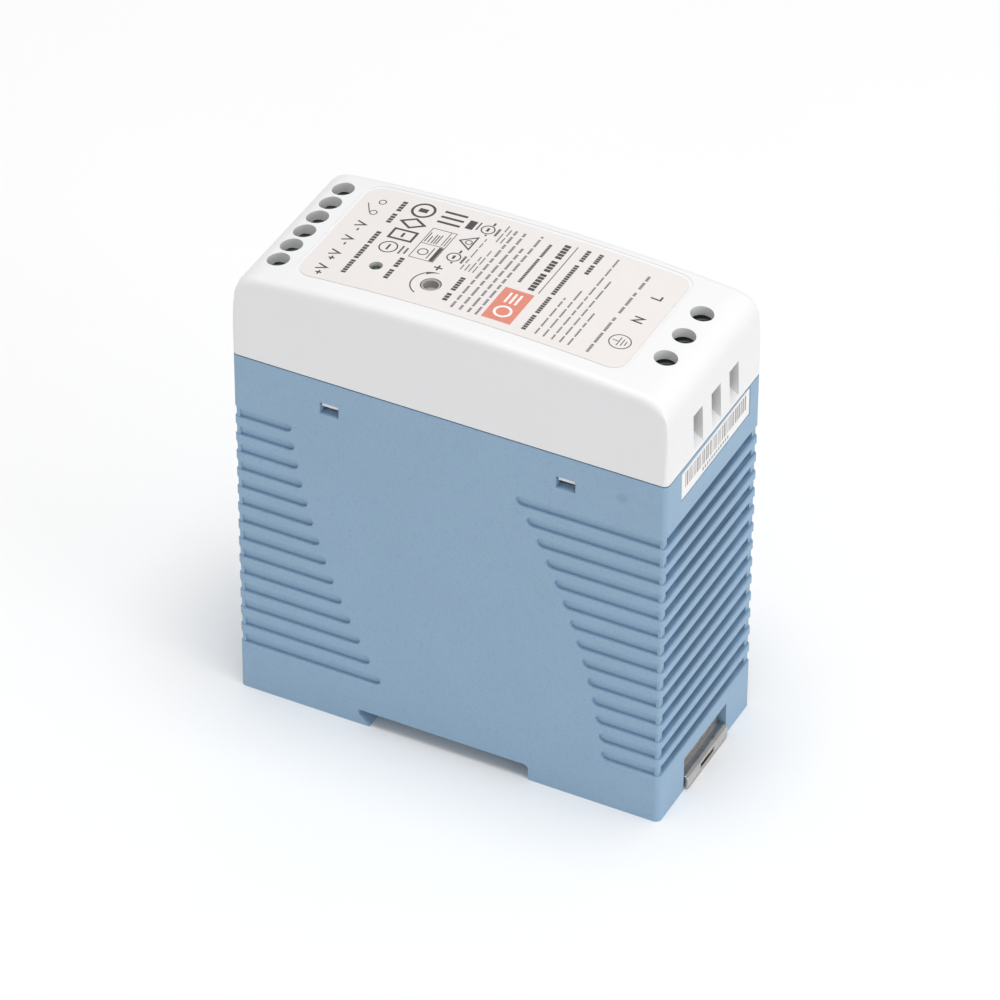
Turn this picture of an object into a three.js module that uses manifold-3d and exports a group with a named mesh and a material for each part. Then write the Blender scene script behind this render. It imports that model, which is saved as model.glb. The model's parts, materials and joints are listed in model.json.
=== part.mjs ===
// A slim DIN rail power supply, lying on its rail feet with its front label up.
// Millimetres. +Z points from the rail to the front, +X to the mains input end, -X to the output end.
// The origin is the middle of the rail side, so the feet stand on z = 0.

import * as THREE from 'three';
import { mergeVertices } from 'three/addons/utils/BufferGeometryUtils.js';
import Module from 'manifold-3d';

const wasm = await Module();
wasm.setup();

// ---------------------------------------------------------------- driving dimensions

const LENGTH = 90;
const WIDTH = 40;
const HEIGHT = 100;
const SEAM = 79.7;
const SEAM_GAP = 0.3;
const CLEAR = 0.3;
const CORNER_RADIUS = 1.2;
const OUTSIDE = 2;

const CASE = { endWall: 2.8, sideWall: 2.2, floor: 10, footFloor: 2.2, top: SEAM - SEAM_GAP / 2 };

const GROOVE = {
  count: 14,
  pitch: 4.17,
  first: 66.4,
  height: 2.4,
  sideDepth: 0.7,
  endDepth: 1.6,
  cornerDepth: 0.65,
  deepHalfWidth: 18.2,
  noseRadius: 0.35,
};
// How far from the middle the first side groove starts, and how the next ones fall back on a parabola.
const REACH = { first: 32.55, slope: 0.5, curve: 0.07 };
const CORNER_POST = { width: 0.65, setBack: 0.25 };
const VENT = { halfWidth: 13, halfHeight: 0.9 };
const CORNER_VENT = { from: 16.3, to: 17.6, low: -1.35, high: -0.3 };

const RAIL = { lip: -16.8, hook: -19.1, ceiling: 3.5, wall: 17.3 };

const NOTCH = { halfWidth: 9.3, roof: 7.8, from: 12.5 };

const LATCH = {
  thickness: 1.2,
  halfWidth: 8.8,
  earHalfWidth: 10.1,
  top: 5.6,
  inner: 17.9,
  step: 43.6,
  shelf: 3.1,
  outer: 45.7,
  bend: 0.9,
  toothTip: 14.9,
  toothTop: 2.2,
  bottom: 0.5,
};

const FOIL_GAP = 0.03;

const SPRING = { from: 25.3, to: 34.3, z: 5, radius: 1.45, wire: 0.25, turns: 5.5 };
const POST = { from: 34.7, to: 36, halfWidth: 2.2, bottom: 3.3 };

const SNAP = { x: 24.5, halfWidth: 2, bottom: 72.05, top: 74.7 };

const COVER = { wall: 2, bottom: SEAM + SEAM_GAP / 2, shoulder: 39.5, crown: 1.95, endTop: 93, endX: 44.5 };
const COVER_MIDDLE = 90;
const RAMP = { inner: 82.4, outer: 79.3 };
const PAD = { inward: 2.9, outward: 1.95, bottom: 95.85, top: 96.6 };
const SKIRT = { halfLength: 41.9, halfWidth: 17.5, thickness: 1.2, bottom: 76, ledge: 81.35 };

const LABEL = { x: -0.8, y: 0.7, halfLength: 33.4, halfWidth: 15.6, radius: 3, thickness: 0.12 };
const LABEL_RECESS = { margin: 0.8, depth: 0.18 };
const STICKER = { y: 0.8, z: 75.85, halfWidth: 14.4, halfHeight: 3, tilt: 1.1, thickness: 0.12 };
const STICKER_RECESS = { margin: 0.2, depth: 0.25 };

// Both rows of terminals sit a little off the middle of the width. x is a row's distance from the middle.
const ROW_Y = 0.7;
const INPUT = {
  name: 'input',
  x: 37.95,
  ways: 3,
  pitch: 7.62,
  hole: 2.25,
  entry: 1.95,
  cage: 2.7,
  shank: 1.5,
  turned: false,
};
const OUTPUT = {
  name: 'output',
  x: 39.05,
  ways: 6,
  pitch: 5.08,
  hole: 2.2,
  entry: 1.5,
  cage: 1.95,
  shank: 1.25,
  turned: true,
};

// Heights shared by both terminal blocks. x runs outwards from the row of screws.
const TERMINAL = {
  inner: -7.5,
  outer: 3.15,
  topOuter: 1.9,
  lowerOuter: 1.3,
  bottom: 78.1,
  step: 81.6,
  top: 95.3,
  cellFloor: 81.8,
  cellRoof: 90.9,
  shelf: 91.9,
  cellReach: 2.6,
  entryBottom: 82.2,
  entryTop: 88.5,
};
const SCREW = { headRadius: 1.8, headHeight: 1.6, slotWidth: 0.7, slotDepth: 0.75, tip: 86 };
const CAGE = { reach: 2.3, bottom: 82.1, sill: 83, lintel: 86.6, top: 88.1, wall: 0.6 };

const LAMP = { x: -21.2, y: -7.2, hole: 1.3, lens: 1, tip: 99.2 };
const TRIMMER = { x: -9.2, y: -8.35, hole: 2.05, shaft: 1.8, top: 99.7, hollow: 1.5, hollowDepth: 1.6 };

const BOARD = { halfLength: 41.4, bottom: 10.8, top: 75.6, face: 14, thickness: 1.6 };
const TERMINAL_BOARD = { halfLength: 40.2, halfWidth: 15.8, bottom: 76.4, top: 78 };

// ---------------------------------------------------------------- finishes

function finish(color, roughness, metalness = 0) {
  return new THREE.MeshStandardMaterial({ color, roughness, metalness });
}
const blueShell = () => finish(0x86a2bb, 0.55);
const whiteShell = () => finish(0xf2f2f2, 0.5);
const foil = () => finish(0xede8e5, 0.45);
const steel = () => finish(0xb9b9b6, 0.3, 1);
const brass = () => finish(0xc2ad72, 0.35, 1);
const aluminium = () => finish(0xb4b6b8, 0.4, 1);
const laminate = () => finish(0x2f6b45, 0.5);
const darkPlastic = () => finish(0x26292b, 0.5);
const greenPlastic = () => finish(0x3a4a42, 0.5);
const ferrite = () => finish(0x3b3a3c, 0.7);
const copper = () => finish(0xb46f3c, 0.35, 1);
const sleeve = (color) => finish(color, 0.4);

// ---------------------------------------------------------------- solids

// Turns a closed three.js geometry into a solid that can be cut and joined.
function solid(geometry) {
  const bare = geometry.clone();
  bare.deleteAttribute('normal');
  bare.deleteAttribute('uv');
  const merged = mergeVertices(bare);
  const index = merged.index.array;
  const triangles = [];
  for (let i = 0; i < index.length; i += 3) {
    const [a, b, c] = [index[i], index[i + 1], index[i + 2]];
    if (a !== b && b !== c && c !== a) {
      triangles.push(a, b, c);
    }
  }
  return new wasm.Manifold(new wasm.Mesh({
    numProp: 3,
    vertProperties: new Float32Array(merged.attributes.position.array),
    triVerts: new Uint32Array(triangles),
  }));
}

function block(x0, x1, y0, y1, z0, z1) {
  const box = new THREE.BoxGeometry(x1 - x0, y1 - y0, z1 - z0);
  return solid(box.translate((x0 + x1) / 2, (y0 + y1) / 2, (z0 + z1) / 2));
}

// Each frame gives the directions of an outline's own x and y and of its extrusion.
const AXIS_X = new THREE.Vector3(1, 0, 0);
const AXIS_Y = new THREE.Vector3(0, 1, 0);
const AXIS_Z = new THREE.Vector3(0, 0, 1);
const ALONG = {
  x: new THREE.Matrix4().makeBasis(AXIS_Y, AXIS_Z, AXIS_X),
  y: new THREE.Matrix4().makeBasis(AXIS_X.clone().negate(), AXIS_Z, AXIS_Y),
  z: new THREE.Matrix4(),
};

// Extrudes an outline along x (outline in y, z), y (outline in x, z) or z (outline in x, y).
function prism(axis, outline, from, to, curveSegments = 4) {
  const drawn = outline instanceof THREE.Shape;
  const corners = drawn ? outline.extractPoints(curveSegments).shape : outline;
  const points = corners.map((c) => (drawn ? c : new THREE.Vector2(...c)));
  const flip = axis === 'y' ? -1 : 1;
  const shape = new THREE.Shape(points.map((p) => new THREE.Vector2(flip * p.x, p.y)));
  const geometry = new THREE.ExtrudeGeometry(shape, { depth: to - from, bevelEnabled: false });
  return solid(geometry.translate(0, 0, from).applyMatrix4(ALONG[axis]));
}

// A round bar along an axis. The two centre values are the other two coordinates, in x, y, z order.
function rod(axis, radius, from, to, a = 0, b = 0, sides = 20) {
  const bar = new THREE.CylinderGeometry(radius, radius, to - from, sides);
  bar.rotateX(Math.PI / 2).translate(0, 0, (from + to) / 2);
  if (axis === 'x') {
    bar.applyMatrix4(ALONG.x).translate(0, a, b);
  } else if (axis === 'y') {
    bar.applyMatrix4(ALONG.y).translate(a, 0, b);
  } else {
    bar.translate(a, b, 0);
  }
  return solid(bar);
}

function roundedRectangle(cx, cy, halfX, halfY, r) {
  const shape = new THREE.Shape();
  shape.moveTo(cx - halfX + r, cy - halfY);
  shape.lineTo(cx + halfX - r, cy - halfY);
  shape.absarc(cx + halfX - r, cy - halfY + r, r, -Math.PI / 2, 0);
  shape.lineTo(cx + halfX, cy + halfY - r);
  shape.absarc(cx + halfX - r, cy + halfY - r, r, 0, Math.PI / 2);
  shape.lineTo(cx - halfX + r, cy + halfY);
  shape.absarc(cx - halfX + r, cy + halfY - r, r, Math.PI / 2, Math.PI);
  shape.lineTo(cx - halfX, cy - halfY + r);
  shape.absarc(cx - halfX + r, cy - halfY + r, r, Math.PI, 1.5 * Math.PI);
  return shape;
}

const join = (bodies) => bodies.reduce((sum, body) => sum.add(body));
const cut = (body, cutters) => cutters.reduce((rest, cutter) => rest.subtract(cutter), body);
const halfTurn = (body) => body.rotate([0, 0, 180]);
const mirrorY = (body) => body.mirror([0, 1, 0]);

// ---------------------------------------------------------------- the model

const model = new THREE.Group();

function add(name, body, material, parent = model) {
  const { vertProperties, triVerts } = body.getMesh();
  const geometry = new THREE.BufferGeometry();
  geometry.setAttribute('position', new THREE.BufferAttribute(vertProperties, 3));
  geometry.setIndex(new THREE.BufferAttribute(triVerts, 1));
  geometry.computeVertexNormals();
  const mesh = new THREE.Mesh(geometry, material);
  mesh.name = name;
  parent.add(mesh);
  return mesh;
}

const END = LENGTH / 2;
const SIDE = WIDTH / 2;
const FAR = END + OUTSIDE;
const WIDE = SIDE + OUTSIDE;

// ---------------------------------------------------------------- base case

const grooveZ = (i) => GROOVE.first - GROOVE.pitch * i;

// Distance from the middle at which a side groove starts.
const grooveReach = (i) => REACH.first - REACH.slope * i - REACH.curve * i * i;

// One groove on the -Y side at the +X end: round inner end, sloped top, crisp ledge below, and a low
// post that crosses it close to the corner.
function sideGroove(z, reach) {
  const r = GROOVE.height / 2;
  const outline = new THREE.Shape();
  outline.moveTo(FAR, z - r);
  outline.lineTo(FAR, z + r);
  outline.lineTo(reach + r, z + r);
  outline.absarc(reach + r, z, r, Math.PI / 2, 1.5 * Math.PI);
  const section = [
    [-WIDE, z - r],
    [-SIDE + GROOVE.sideDepth, z - r],
    [-SIDE + 0.7 * GROOVE.sideDepth, z + 0.3 * r],
    [-SIDE, z + r],
    [-WIDE, z + r],
  ];
  const postTo = END - GROOVE.cornerDepth;
  const postY = -SIDE + CORNER_POST.setBack;
  const post = block(postTo - CORNER_POST.width, postTo, postY, 0, z - GROOVE.height, z + GROOVE.height);
  return prism('y', outline, -WIDE, -SIDE + OUTSIDE, 2).intersect(prism('x', section, 0, FAR)).subtract(post);
}

// One groove across the +X end, shallow at the corners. The ribs that it leaves have rounded noses.
function endGroove(z) {
  const r = GROOVE.height / 2;
  const groove = (depth, halfWidth) => {
    const nose = GROOVE.noseRadius;
    const half = [
      [END - depth, r],
      [END - 1.3 * nose, r],
      [END - 0.4 * nose, r + 0.3 * nose],
      [END, r + nose],
      [FAR, r + nose],
    ];
    const upper = half.map(([x, dz]) => [x, z + dz]);
    const lower = half.map(([x, dz]) => [x, z - dz]).reverse();
    return prism('y', [...upper, ...lower].reverse(), -halfWidth, halfWidth);
  };
  return [groove(GROOVE.cornerDepth, WIDE), groove(GROOVE.endDepth, GROOVE.deepHalfWidth)];
}

// Air slots through the end wall: a long one in each groove and a small square one near each corner.
function vents(z) {
  const from = END - CASE.endWall - CLEAR;
  const to = END - GROOVE.endDepth + CLEAR;
  const square = block(from, to, CORNER_VENT.from, CORNER_VENT.to, z + CORNER_VENT.low, z + CORNER_VENT.high);
  const slot = block(from, to, -VENT.halfWidth, VENT.halfWidth, z - VENT.halfHeight, z + VENT.halfHeight);
  return [square, slot, mirrorY(square)];
}

function endCutters() {
  const cutters = [];
  for (let i = 0; i < GROOVE.count; i += 1) {
    const z = grooveZ(i);
    cutters.push(sideGroove(z, grooveReach(GROOVE.count - 1 - i)));
    cutters.push(mirrorY(sideGroove(z, grooveReach(i))));
    cutters.push(...endGroove(z), ...vents(z));
  }
  return join(cutters);
}

// The slot for the rail: an undercut hook on the output side, an open wall on the latch side.
function railSlot() {
  const shape = new THREE.Shape();
  const r = 0.9;
  shape.moveTo(RAIL.lip, -OUTSIDE);
  shape.lineTo(RAIL.wall + r, -OUTSIDE);
  shape.lineTo(RAIL.wall + r, 0);
  shape.absarc(RAIL.wall + r, r, r, 1.5 * Math.PI, Math.PI, true);
  shape.lineTo(RAIL.wall, RAIL.ceiling - r);
  shape.absarc(RAIL.wall - r, RAIL.ceiling - r, r, 0, Math.PI / 2);
  shape.lineTo(RAIL.hook, RAIL.ceiling);
  shape.lineTo(RAIL.hook, RAIL.lip - RAIL.hook);
  shape.lineTo(RAIL.lip, 0);
  return prism('y', shape, -WIDE, WIDE, 3);
}

function latchChannel() {
  const ears = { from: 19.5, to: 41, bottom: 4.1, top: 5.9 };
  const mouth = block(NOTCH.from, FAR, -NOTCH.halfWidth, NOTCH.halfWidth, -OUTSIDE, NOTCH.roof);
  const earWay = LATCH.earHalfWidth + CLEAR;
  return join([mouth, block(ears.from, ears.to, -earWay, earWay, ears.bottom, ears.top)]);
}

// The room inside, with pockets down into the feet.
function caseCavity() {
  const x = END - CASE.endWall;
  const y = SIDE - CASE.sideWall;
  const overlap = 0.5;
  const low = CASE.floor + overlap;
  const hookWall = RAIL.hook - 2.4;
  const pocket = { wall: 12.4, from: 19.8 };
  const latchPocket = block(pocket.from, x, pocket.wall, y, CASE.footFloor, low);
  return [
    block(-x, x, -y, y, CASE.floor, SEAM + OUTSIDE),
    block(-x, hookWall, -y, y, CASE.footFloor, low),
    block(hookWall - overlap, NOTCH.from - 2, -y, y, RAIL.ceiling + 2.2, low),
    latchPocket,
    mirrorY(latchPocket),
  ];
}

// Upright ribs on both end walls that hold the main board's edges.
function boardGuides() {
  const from = END - CASE.endWall - 1.3;
  const to = END - CASE.endWall + CLEAR;
  const back = BOARD.face + BOARD.thickness;
  const ribs = [
    block(from, to, BOARD.face - 1.4, BOARD.face - 0.2, CASE.floor - 1, 70),
    block(from, to, back + 0.2, back + 1.4, CASE.floor - 1, 70),
  ];
  return [...ribs, ...ribs.map((rib) => rib.mirror([1, 0, 0]))];
}

// The sticker's outline on the mains end with a margin round it. It was stuck on slightly askew.
function stickerLayer(margin, from, to) {
  const y = STICKER.halfWidth + margin;
  const z = STICKER.halfHeight + margin;
  return block(from, to, -y, y, -z, z).rotate([STICKER.tilt, 0, 0]).translate([0, STICKER.y, STICKER.z]);
}

function baseCase() {
  const shell = prism('z', roundedRectangle(0, 0, END, SIDE, CORNER_RADIUS), 0, CASE.top);
  const atEnd = endCutters();
  const windows = [-SNAP.x, SNAP.x].map((x) => (
    block(x - SNAP.halfWidth, x + SNAP.halfWidth, -WIDE, WIDE, SNAP.bottom, SNAP.top)
  ));
  const sticker = stickerLayer(STICKER_RECESS.margin, END - STICKER_RECESS.depth, FAR);
  const rooms = [railSlot(), latchChannel(), ...caseCavity()];
  const hollow = cut(shell, [atEnd, halfTurn(atEnd), ...rooms, ...windows, sticker]);
  const post = block(POST.from, POST.to, -POST.halfWidth, POST.halfWidth, POST.bottom, NOTCH.roof + CLEAR);
  return join([hollow, post, ...boardGuides()]);
}

// ---------------------------------------------------------------- front cover

// The front is gently arched from end to end and turns down into the ends with a soft corner.
function crownPoints(drop = 0, steps = 12) {
  const points = [];
  for (let i = 0; i <= steps; i += 1) {
    const x = COVER.shoulder * (2 * i / steps - 1);
    points.push([x, HEIGHT - drop - COVER.crown * (x / COVER.shoulder) ** 2]);
  }
  return points;
}

function softCorner(inset, steps = 5) {
  const slope = 2 * COVER.crown / COVER.shoulder;
  const start = new THREE.Vector2(COVER.shoulder, HEIGHT - COVER.crown - inset);
  const end = new THREE.Vector2(COVER.endX - inset, COVER.endTop - inset);
  const knee = new THREE.Vector2(end.x + 0.15, start.y - slope * (end.x - start.x));
  return new THREE.QuadraticBezierCurve(start, knee, end).getPoints(steps).map((p) => [p.x, p.y]);
}

function sideProfile(inset, bottom) {
  const right = softCorner(inset);
  const left = right.map(([x, z]) => [-x, z]).reverse();
  const foot = END - inset;
  return [[-foot, bottom], ...left, ...crownPoints(inset).slice(1, -1), ...right, [foot, bottom]].reverse();
}

// A skin through sections at rising x, each one the cover's width with its long top edges rounded.
function archedBody() {
  const edge = 1.8;
  const lean = 0.45;
  const turns = 4;
  const right = [...softCorner(0).slice(1), [FAR, COVER.endTop - 8]];
  const left = right.map(([x, z]) => [-x, z]).reverse();
  const stations = [...left, ...crownPoints(), ...right];
  const rings = stations.map(([x, z]) => {
    const half = [[SIDE, COVER.bottom]];
    for (let i = 0; i <= turns; i += 1) {
      const angle = (i / turns) * Math.PI / 2;
      half.push([SIDE - lean - edge + edge * Math.cos(angle), z - edge + edge * Math.sin(angle)]);
    }
    const other = half.map(([y, height]) => [-y, height]).reverse();
    return [...half, ...other].map(([y, height]) => [x, y, height]);
  });
  return loft(rings);
}

// Joins closed rings of equal length into one closed skin.
function loft(rings) {
  const size = rings[0].length;
  const positions = rings.flat(2);
  const index = [];
  for (let r = 0; r + 1 < rings.length; r += 1) {
    for (let i = 0; i < size; i += 1) {
      const j = (i + 1) % size;
      const [a, b, c, d] = [r * size + i, r * size + j, (r + 1) * size + j, (r + 1) * size + i];
      index.push(a, b, c, a, c, d);
    }
  }
  const last = (rings.length - 1) * size;
  for (let i = 1; i + 1 < size; i += 1) {
    index.push(0, i + 1, i);
    index.push(last, last + i, last + i + 1);
  }
  const geometry = new THREE.BufferGeometry();
  geometry.setAttribute('position', new THREE.Float32BufferAttribute(positions, 3));
  geometry.setIndex(index);
  const skin = solid(geometry);
  return skin.volume() > 0 ? skin : solid(geometry.setIndex(index.reverse()));
}

const rowY = (way, terminals) => (way - (terminals.ways - 1) / 2) * terminals.pitch;

// Puts what was made for the +X end on the terminals' own end.
const atTerminals = (body, terminals) => (
  (terminals.turned ? halfTurn(body) : body).translate([0, ROW_Y, 0])
);

const frontHole = (radius, x, y) => rod('z', radius, COVER_MIDDLE, HEIGHT + OUTSIDE, x, y, 24);

// Screw holes in the front and wire windows in one end of the cover, with a ramp that guides the wire.
function terminalOpenings(terminals) {
  const inner = END - COVER.wall - 0.5;
  const roof = TERMINAL.entryTop;
  const wireWay = [[inner, roof], [inner, RAMP.inner], [FAR, RAMP.outer], [FAR, roof]];
  const openings = [];
  for (let way = 0; way < terminals.ways; way += 1) {
    const y = rowY(way, terminals);
    openings.push(frontHole(terminals.hole, terminals.x, y));
    openings.push(prism('y', wireWay, y - terminals.entry, y + terminals.entry));
  }
  return atTerminals(join(openings), terminals);
}

// A hook on a springy tongue that reaches down inside the case and catches in its window.
function snapHook(x) {
  const inner = SKIRT.halfWidth - SKIRT.thickness;
  const half = SNAP.halfWidth - CLEAR;
  const section = [
    [-SKIRT.halfWidth, SKIRT.bottom + 1],
    [-SKIRT.halfWidth, SNAP.top - CLEAR],
    [-SIDE + 0.5, SNAP.top - CLEAR],
    [-SIDE + 0.5, SNAP.top - 1],
    [-SKIRT.halfWidth, SNAP.bottom + CLEAR],
    [-inner, SNAP.bottom + CLEAR],
    [-inner, SKIRT.bottom + 1],
  ];
  return prism('x', section.reverse(), x - half, x + half);
}

function labelOutline(margin) {
  const { x, y, halfLength, halfWidth, radius } = LABEL;
  return roundedRectangle(x, y, halfLength + margin, halfWidth + margin, radius + margin);
}

// A layer that follows the arched front between two depths below it.
function archedLayer(shallow, deep) {
  const upper = crownPoints(shallow);
  const lower = crownPoints(deep).reverse();
  return prism('y', [...upper, ...lower].reverse(), -WIDE, WIDE);
}

// A thicker strip under the front around the output screw holes.
function outputPad() {
  const { x, ways, pitch } = OUTPUT;
  const half = ways * pitch / 2;
  return atTerminals(block(x - PAD.inward, x + PAD.outward, -half, half, PAD.bottom, PAD.top), OUTPUT);
}

function frontCover() {
  const plan = prism('z', roundedRectangle(0, 0, END, SIDE, CORNER_RADIUS), COVER.bottom, HEIGHT + OUTSIDE);
  const shell = archedBody().intersect(plan).intersect(prism('y', sideProfile(0, COVER.bottom), -WIDE, WIDE));
  const innerSide = SIDE - COVER.wall;
  const room = prism('y', sideProfile(COVER.wall, SKIRT.ledge), -innerSide, innerSide);
  const mouthX = SKIRT.halfLength - SKIRT.thickness;
  const mouthY = SKIRT.halfWidth - SKIRT.thickness;
  const mouth = block(-mouthX, mouthX, -mouthY, mouthY, SKIRT.bottom - 1, SKIRT.ledge + 1);
  const skirtShape = roundedRectangle(0, 0, SKIRT.halfLength, SKIRT.halfWidth, CORNER_RADIUS);
  const skirt = prism('z', skirtShape, SKIRT.bottom, SKIRT.ledge);
  const recess = prism('z', labelOutline(LABEL_RECESS.margin), COVER_MIDDLE, HEIGHT + OUTSIDE)
    .intersect(archedLayer(-OUTSIDE, LABEL_RECESS.depth));
  const hooks = [-SNAP.x, SNAP.x].map(snapHook);
  const hollow = cut(shell.add(skirt), [room, mouth, recess]);
  const closed = join([hollow, outputPad(), ...hooks, ...hooks.map(mirrorY)]);
  return cut(closed, [
    terminalOpenings(INPUT),
    terminalOpenings(OUTPUT),
    frontHole(LAMP.hole, LAMP.x, LAMP.y),
    frontHole(TRIMMER.hole, TRIMMER.x, TRIMMER.y),
  ]);
}

function frontLabel() {
  const deep = LABEL_RECESS.depth - FOIL_GAP;
  const sheet = prism('z', labelOutline(0), COVER_MIDDLE, HEIGHT + OUTSIDE)
    .intersect(archedLayer(deep - LABEL.thickness, deep));
  return cut(sheet, [
    frontHole(LAMP.hole, LAMP.x, LAMP.y),
    frontHole(TRIMMER.hole, TRIMMER.x, TRIMMER.y),
  ]);
}

function barcodeLabel() {
  const from = END - STICKER_RECESS.depth + FOIL_GAP;
  return stickerLayer(0, from, from + STICKER.thickness);
}

add('base_case', baseCase(), blueShell());
add('front_cover', frontCover(), whiteShell());
add('front_label', frontLabel(), foil());
add('barcode_label', barcodeLabel(), foil());

// ---------------------------------------------------------------- rail latch

// A bent steel slider: tooth under the rail's edge, guided plate, a step down at the end, and a lip that
// curls over the end face with a slot for a screwdriver.
function dinLatch() {
  const { thickness, halfWidth, top, inner, step, shelf, outer, bend, toothTip, toothTop, bottom } = LATCH;
  const profile = [
    [toothTip, toothTop],
    [toothTip + 1.7, bottom],
    [inner + thickness, bottom],
    [inner + thickness, top - thickness],
    [step - thickness, top - thickness],
    [step - thickness, shelf - thickness],
    [outer - thickness, shelf - thickness],
    [outer - thickness, bottom],
    [outer, bottom],
    [outer, shelf - bend],
    [outer - 0.08 * bend, shelf - 0.6 * bend],
    [outer - 0.3 * bend, shelf - 0.3 * bend],
    [outer - 0.6 * bend, shelf - 0.08 * bend],
    [outer - bend, shelf],
    [step, shelf],
    [step, top - 0.4],
    [step - 0.4, top],
    [inner + 0.4, top],
    [inner, top - 0.4],
    [inner, toothTop],
  ];
  const strip = prism('y', profile, -halfWidth, halfWidth);
  const ears = { from: 20.2, to: 37 };
  const room = { from: 25, to: 40.2, halfWidth: 2.6 };
  const pull = { halfWidth: 3, bottom: 1.1, top: 2.2 };
  const plate = block(ears.from, ears.to, -LATCH.earHalfWidth, LATCH.earHalfWidth, top - thickness, top);
  const springRoom = block(room.from, room.to, -room.halfWidth, room.halfWidth, bottom + 2, top + 1);
  const lip = outer - thickness;
  const slot = block(lip - 1, outer + 1, -pull.halfWidth, pull.halfWidth, pull.bottom, pull.top);
  return cut(strip.add(plate), [springRoom, slot]);
}

class Helix extends THREE.Curve {
  constructor(radius, from, to, turns) {
    super();
    Object.assign(this, { radius, from, to, turns });
  }

  getPoint(t) {
    const angle = t * this.turns * 2 * Math.PI;
    const x = this.from + t * (this.to - this.from);
    return new THREE.Vector3(x, this.radius * Math.cos(angle), this.radius * Math.sin(angle));
  }
}

function latchSpring() {
  const path = new Helix(SPRING.radius, SPRING.from + SPRING.wire, SPRING.to - SPRING.wire, SPRING.turns);
  const wire = new THREE.Shape();
  wire.absarc(0, 0, SPRING.wire, 0, 2 * Math.PI);
  const options = { steps: Math.round(SPRING.turns * 8), extrudePath: path, curveSegments: 3 };
  return solid(new THREE.ExtrudeGeometry(wire, options).translate(0, 0, SPRING.z));
}

add('din_latch', dinLatch(), steel());
add('latch_spring', latchSpring(), steel());

// ---------------------------------------------------------------- terminals

function terminalBlock(terminals) {
  const halfWidth = terminals.ways * terminals.pitch / 2;
  const { inner, outer, topOuter, lowerOuter, bottom, step, top } = TERMINAL;
  const profile = [
    [inner, bottom],
    [lowerOuter, bottom],
    [lowerOuter, step],
    [outer, step],
    [outer, top - 3.6],
    [topOuter, top],
    [inner, top],
  ];
  const cutters = [];
  for (let way = 0; way < terminals.ways; way += 1) {
    const y = rowY(way, terminals);
    const cell = terminals.cage + CLEAR;
    const reach = TERMINAL.cellReach;
    cutters.push(block(-reach, reach, y - cell, y + cell, TERMINAL.cellFloor, TERMINAL.cellRoof));
    cutters.push(rod('z', terminals.shank + CLEAR, TERMINAL.cellRoof - 1, TERMINAL.shelf + 1, 0, y, 12));
    cutters.push(rod('z', SCREW.headRadius + CLEAR, TERMINAL.shelf, top + 1, 0, y, 20));
    const { entry } = terminals;
    cutters.push(block(reach - 1, outer + 1, y - entry, y + entry, TERMINAL.entryBottom, TERMINAL.entryTop));
  }
  return cut(prism('y', profile.reverse(), -halfWidth, halfWidth), cutters);
}

function terminalScrew(terminals) {
  const seat = TERMINAL.shelf + 0.1;
  const top = seat + SCREW.headHeight;
  const shank = rod('z', terminals.shank, SCREW.tip, seat + 0.5, 0, 0, 12);
  const head = rod('z', SCREW.headRadius, seat, top, 0, 0, 16);
  const half = SCREW.slotWidth / 2;
  return cut(shank.add(head), [block(-3, 3, -half, half, top - SCREW.slotDepth, top + 1)]);
}

// The cage that the screw pulls up, clamping the wire that lies through its window.
function wireCage(terminals) {
  const { reach, bottom, sill, lintel, top, wall } = CAGE;
  const half = terminals.cage;
  const body = block(-reach, reach, -half, half, bottom, top);
  const way = block(-reach - 1, reach + 1, wall - half, half - wall, sill, lintel);
  return cut(body, [way, rod('z', terminals.shank + 0.12, lintel - 1, top + 1, 0, 0, 12)]);
}

for (const terminals of [INPUT, OUTPUT]) {
  const end = new THREE.Group();
  end.rotation.z = terminals.turned ? Math.PI : 0;
  end.position.set(terminals.turned ? -terminals.x : terminals.x, ROW_Y, 0);
  model.add(end);
  add(`${terminals.name}_terminal_block`, terminalBlock(terminals), greenPlastic(), end);
  for (let way = 0; way < terminals.ways; way += 1) {
    const y = rowY(way, terminals);
    const screw = add(`${terminals.name}_screw_${way + 1}`, terminalScrew(terminals), steel(), end);
    const cage = add(`${terminals.name}_cage_${way + 1}`, wireCage(terminals), brass(), end);
    screw.position.y = y;
    cage.position.y = y;
  }
}

// ---------------------------------------------------------------- boards

function mainBoard() {
  const { halfLength, bottom, top, face, thickness } = BOARD;
  return block(-halfLength, halfLength, face, face + thickness, bottom, top);
}

function terminalBoard() {
  const { halfLength, halfWidth, bottom, top } = TERMINAL_BOARD;
  return block(-halfLength, halfLength, -halfWidth, halfWidth, bottom, top);
}

// Black header strip that carries the right-angle pins from one board to the other.
function boardHeader() {
  return block(-10, 10, BOARD.face - 3, BOARD.face - 0.1, 71.5, TERMINAL_BOARD.bottom - 0.1);
}

function insulationSheet() {
  const y = BOARD.face + BOARD.thickness + 1;
  return block(-39, 39, y, y + 0.4, 12, 70);
}

add('main_board', mainBoard(), laminate());
add('terminal_board', terminalBoard(), laminate());
add('board_header', boardHeader(), darkPlastic());
add('insulation_sheet', insulationSheet(), finish(0xd8dcd8, 0.4));

// ---------------------------------------------------------------- parts on the terminal board

const DECK = TERMINAL_BOARD.top + 0.1;

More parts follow.
